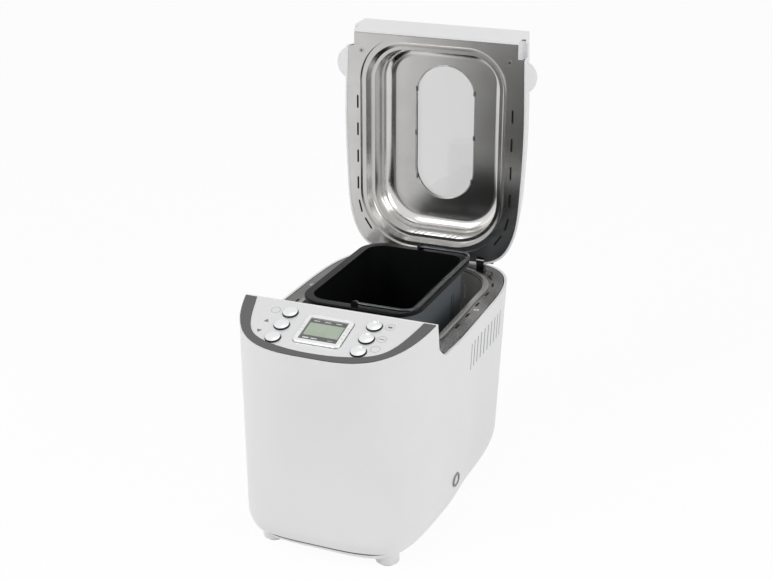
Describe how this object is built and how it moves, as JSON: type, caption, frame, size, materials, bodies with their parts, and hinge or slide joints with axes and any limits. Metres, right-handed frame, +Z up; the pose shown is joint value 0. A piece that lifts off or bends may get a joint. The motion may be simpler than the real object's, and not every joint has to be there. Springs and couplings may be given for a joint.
{
  "type": "bread machine",
  "caption": "Countertop bread machine with a hinged windowed lid, a sloped control panel, an oven well and a lift-out pan with belt-driven kneading paddles.",
  "frame": {"origin": "on the floor under the middle of the whole outline, lid open", "axes": "+Z up, +Y towards the hinge at the rear, +X to the right seen from the front"},
  "size_m": [0.2654, 0.4396, 0.5536],
  "materials": {
    "white_abs": "satin moulded",
    "grey_plastic": "satin moulded",
    "silver_paint": "silver lacquer",
    "dark_trim": "satin moulded",
    "bright_key": "satin chrome plated",
    "lens": "clear",
    "display": "liquid crystal panel",
    "circuit_board": "lacquered board",
    "deck_steel": "brushed",
    "oven_steel": "drawn",
    "liner_steel": "polished",
    "screw_steel": "zinc plated",
    "shaft_steel": "ground",
    "handle_wire": "plated wire",
    "heater_sheath": "oxidised sheath",
    "ceramic": "glazed ceramic",
    "chassis_steel": "galvanised",
    "motor_steel": "lacquered laminations",
    "bearing_bronze": "sintered",
    "belt_rubber": "moulded",
    "foot_rubber": "moulded",
    "pan_aluminium": "non-stick coated",
    "cast_aluminium": "die cast",
    "window_glass": "clear"
  },
  "bodies": {
    "machine_body": {"housing_shell": "white_abs", "base_plate": "chassis_steel", "feet": "white_abs", "foot_pads": "foot_rubber", "top_deck": "deck_steel", "deck_screws": "screw_steel", "oven_chamber": "oven_steel", "heating_element": "heater_sheath", "heater_insulators": "ceramic", "heater_supports": "oven_steel", "temperature_probe": "shaft_steel", "pan_seat": "cast_aluminium", "pan_seat_clips": "shaft_steel", "control_fascia": "silver_paint", "fascia_trim": "dark_trim", "display_bezel": "silver_paint", "display_lens": "lens", "display_module": "display", "control_board": "circuit_board", "drive_chassis": "chassis_steel", "shaft_bearings": "bearing_bronze", "motor": "motor_steel", "motor_capacitor": "grey_plastic", "primary_belt": "belt_rubber", "secondary_belt": "belt_rubber", "power_board": "circuit_board", "rocker_frame": "dark_trim", "cord_gland": "foot_rubber", "hinge_brackets": "screw_steel"},
    "lid": {"lid_shell": "white_abs", "lid_liner": "liner_steel", "inner_window_pane": "window_glass", "outer_window_pane": "window_glass", "window_gasket": "foot_rubber", "lid_screws": "screw_steel", "hinge_pins": "shaft_steel"},
    "pan": {"bread_pan": "pan_aluminium", "pan_base": "cast_aluminium", "pan_bushes": "bearing_bronze", "shaft_seals": "foot_rubber", "handle_pivots": "shaft_steel"},
    "handle": {"pan_handle": "handle_wire"},
    "front_paddle_set": {"front_pan_shaft": "shaft_steel", "front_paddle": "pan_aluminium"},
    "rear_paddle_set": {"rear_pan_shaft": "shaft_steel", "rear_paddle": "pan_aluminium"},
    "motor_rotor": {"motor_shaft": "shaft_steel", "motor_pulley": "grey_plastic"},
    "front_drive": {"front_drive_shaft": "shaft_steel", "front_large_pulley": "grey_plastic", "front_small_pulley": "grey_plastic"},
    "rear_drive": {"rear_drive_shaft": "shaft_steel", "rear_small_pulley": "grey_plastic"},
    "rocker": {"power_rocker": "white_abs"},
    "left_button_1": {"left_button_1": "bright_key"},
    "left_button_2": {"left_button_2": "bright_key"},
    "left_button_3": {"left_button_3": "bright_key"},
    "right_button_1": {"right_button_1": "bright_key"},
    "right_button_2": {"right_button_2": "bright_key"},
    "right_button_3": {"right_button_3": "bright_key"}
  },
  "joints": [
    {"name": "lid_hinge", "type": "hinge", "parent": "machine_body", "child": "lid", "pos_m": [0, 0.173, 0.2552], "axis": [-1, 0, 0], "range_deg": [-90, 0]},
    {"name": "pan_lift", "type": "slide", "parent": "machine_body", "child": "pan", "axis": [0, 0, 1], "range_m": [0, 0.23]},
    {"name": "handle_swing", "type": "hinge", "parent": "pan", "child": "handle", "pos_m": [0, 0.019, 0.2829], "axis": [0, -1, 0], "range_deg": [0, 180]},
    {"name": "front_drive_spin", "type": "hinge", "parent": "machine_body", "child": "front_drive", "pos_m": [0, -0.031, 0.05], "axis": [0, 0, 1], "continuous": true},
    {"name": "rear_drive_spin", "type": "hinge", "parent": "machine_body", "child": "rear_drive", "pos_m": [0, 0.069, 0.05], "axis": [0, 0, 1], "continuous": true},
    {"name": "motor_spin", "type": "hinge", "parent": "machine_body", "child": "motor_rotor", "pos_m": [0, -0.147, 0.05], "axis": [0, 0, 1], "continuous": true},
    {"name": "front_paddle_spin", "type": "hinge", "parent": "pan", "child": "front_paddle_set", "pos_m": [0, -0.031, 0.1], "axis": [0, 0, 1], "continuous": true},
    {"name": "rear_paddle_spin", "type": "hinge", "parent": "pan", "child": "rear_paddle_set", "pos_m": [0, 0.069, 0.1], "axis": [0, 0, 1], "continuous": true},
    {"name": "rocker_tilt", "type": "hinge", "parent": "machine_body", "child": "rocker", "pos_m": [0.1118, -0.0516, 0.0585], "axis": [0, 0, 1], "range_deg": [-14, 0]},
    {"name": "left_button_1_press", "type": "slide", "parent": "machine_body", "child": "left_button_1", "axis": [0, 0.2588, -0.9659], "range_m": [0, 0.0012], "stiffness_N_per_m": 400, "springref_m": -0.001},
    {"name": "left_button_2_press", "type": "slide", "parent": "machine_body", "child": "left_button_2", "axis": [0, 0.2588, -0.9659], "range_m": [0, 0.0012], "stiffness_N_per_m": 400, "springref_m": -0.001},
    {"name": "left_button_3_press", "type": "slide", "parent": "machine_body", "child": "left_button_3", "axis": [0, 0.2588, -0.9659], "range_m": [0, 0.0012], "stiffness_N_per_m": 400, "springref_m": -0.001},
    {"name": "right_button_1_press", "type": "slide", "parent": "machine_body", "child": "right_button_1", "axis": [0, 0.2588, -0.9659], "range_m": [0, 0.0012], "stiffness_N_per_m": 400, "springref_m": -0.001},
    {"name": "right_button_2_press", "type": "slide", "parent": "machine_body", "child": "right_button_2", "axis": [0, 0.2588, -0.9659], "range_m": [0, 0.0012], "stiffness_N_per_m": 400, "springref_m": -0.001},
    {"name": "right_button_3_press", "type": "slide", "parent": "machine_body", "child": "right_button_3", "axis": [0, 0.2588, -0.9659], "range_m": [0, 0.0012], "stiffness_N_per_m": 400, "springref_m": -0.001}
  ],
  "couplings": [
    {"joint": "motor_spin", "follows": "front_drive_spin", "ratio": 5},
    {"joint": "rear_drive_spin", "follows": "front_drive_spin", "ratio": 1},
    {"joint": "front_paddle_spin", "follows": "front_drive_spin", "ratio": 1},
    {"joint": "rear_paddle_spin", "follows": "front_drive_spin", "ratio": 1}
  ]
}
